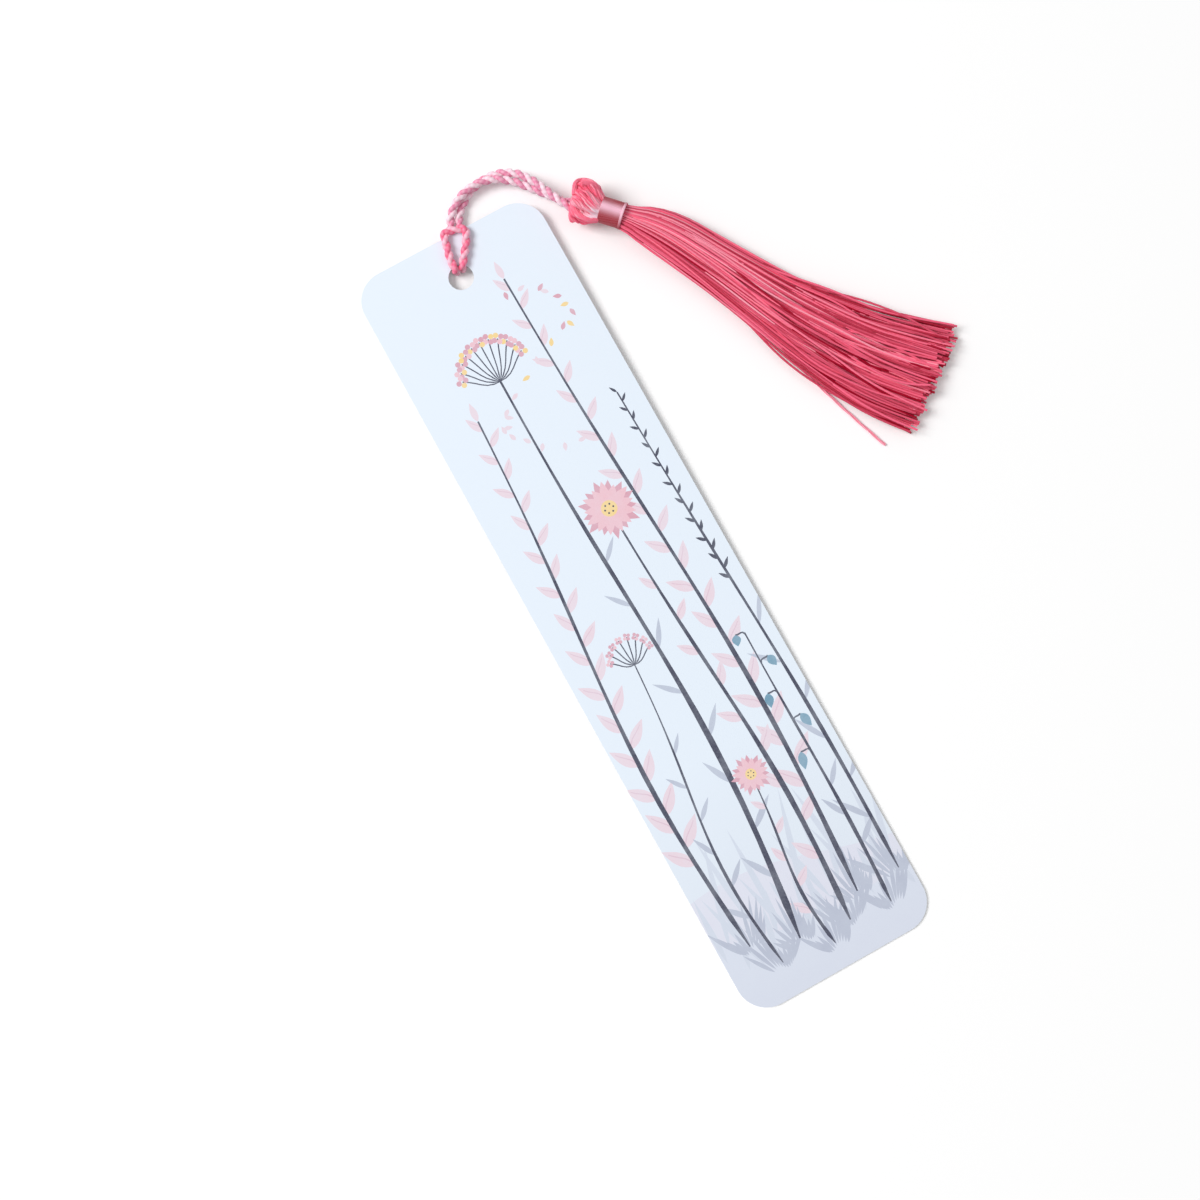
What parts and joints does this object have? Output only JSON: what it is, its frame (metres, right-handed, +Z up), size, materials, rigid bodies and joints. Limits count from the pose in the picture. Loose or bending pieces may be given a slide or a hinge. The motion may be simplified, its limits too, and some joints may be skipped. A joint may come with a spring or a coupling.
{
  "type": "tassel bookmark",
  "caption": "Slim laminated card bookmark with rounded corners and a punched hole, through which a doubled twisted cord is hitched that carries a thread tassel.",
  "frame": {"origin": "on the table under the middle of the card, which lies face up with its lower edge on the table", "axes": "+Y up the card to the hole, +X to the card's right, +Z up out of its printed face"},
  "size_m": [0.0975, 0.168, 0.0085],
  "materials": {
    "board": "uncoated white board, cut edges",
    "front_film": "satin laminate over a print of slender sprigs",
    "back_film": "satin laminate, plain",
    "cord": "two-ply twisted rayon cord, silky",
    "tassel_thread": "loose rayon thread, silky",
    "binding": "tight rayon winding, satin"
  },
  "bodies": {
    "card": {"card_core": "board", "front_film": "front_film", "back_film": "back_film"},
    "hitch": {"hitch_loop": "cord"},
    "cord": {"hanging_cord": "cord"},
    "tassel": {"end_knot": "cord", "tassel_head": "tassel_thread", "binding_core": "binding", "binding_thread": "binding", "skirt_lock_01": "tassel_thread", "skirt_lock_02": "tassel_thread", "skirt_lock_03": "tassel_thread", "skirt_lock_04": "tassel_thread", "skirt_lock_05": "tassel_thread", "skirt_lock_06": "tassel_thread", "skirt_lock_07": "tassel_thread", "skirt_lock_08": "tassel_thread", "skirt_lock_09": "tassel_thread", "skirt_lock_10": "tassel_thread", "skirt_lock_11": "tassel_thread", "skirt_lock_12": "tassel_thread", "skirt_lock_13": "tassel_thread", "skirt_lock_14": "tassel_thread", "skirt_lock_15": "tassel_thread", "skirt_lock_16": "tassel_thread", "skirt_lock_17": "tassel_thread", "skirt_lock_18": "tassel_thread", "skirt_lock_19": "tassel_thread"}
  },
  "joints": [
    {"name": "hitch_sweep", "type": "hinge", "parent": "card", "child": "hitch", "pos_m": [0, 0.0715, 0.00175], "axis": [0, -0.0099, 1], "range_deg": [-8, 52]},
    {"name": "cord_flop", "type": "hinge", "parent": "hitch", "child": "cord", "pos_m": [0.0044, 0.0826, 0.0015], "axis": [0, -1, 0], "range_deg": [-150, 150]},
    {"name": "tassel_swing", "type": "hinge", "parent": "cord", "child": "tassel", "pos_m": [0.0246, 0.0755, 0.0043], "axis": [0, 0, 1], "range_deg": [-20, 55]}
  ]
}
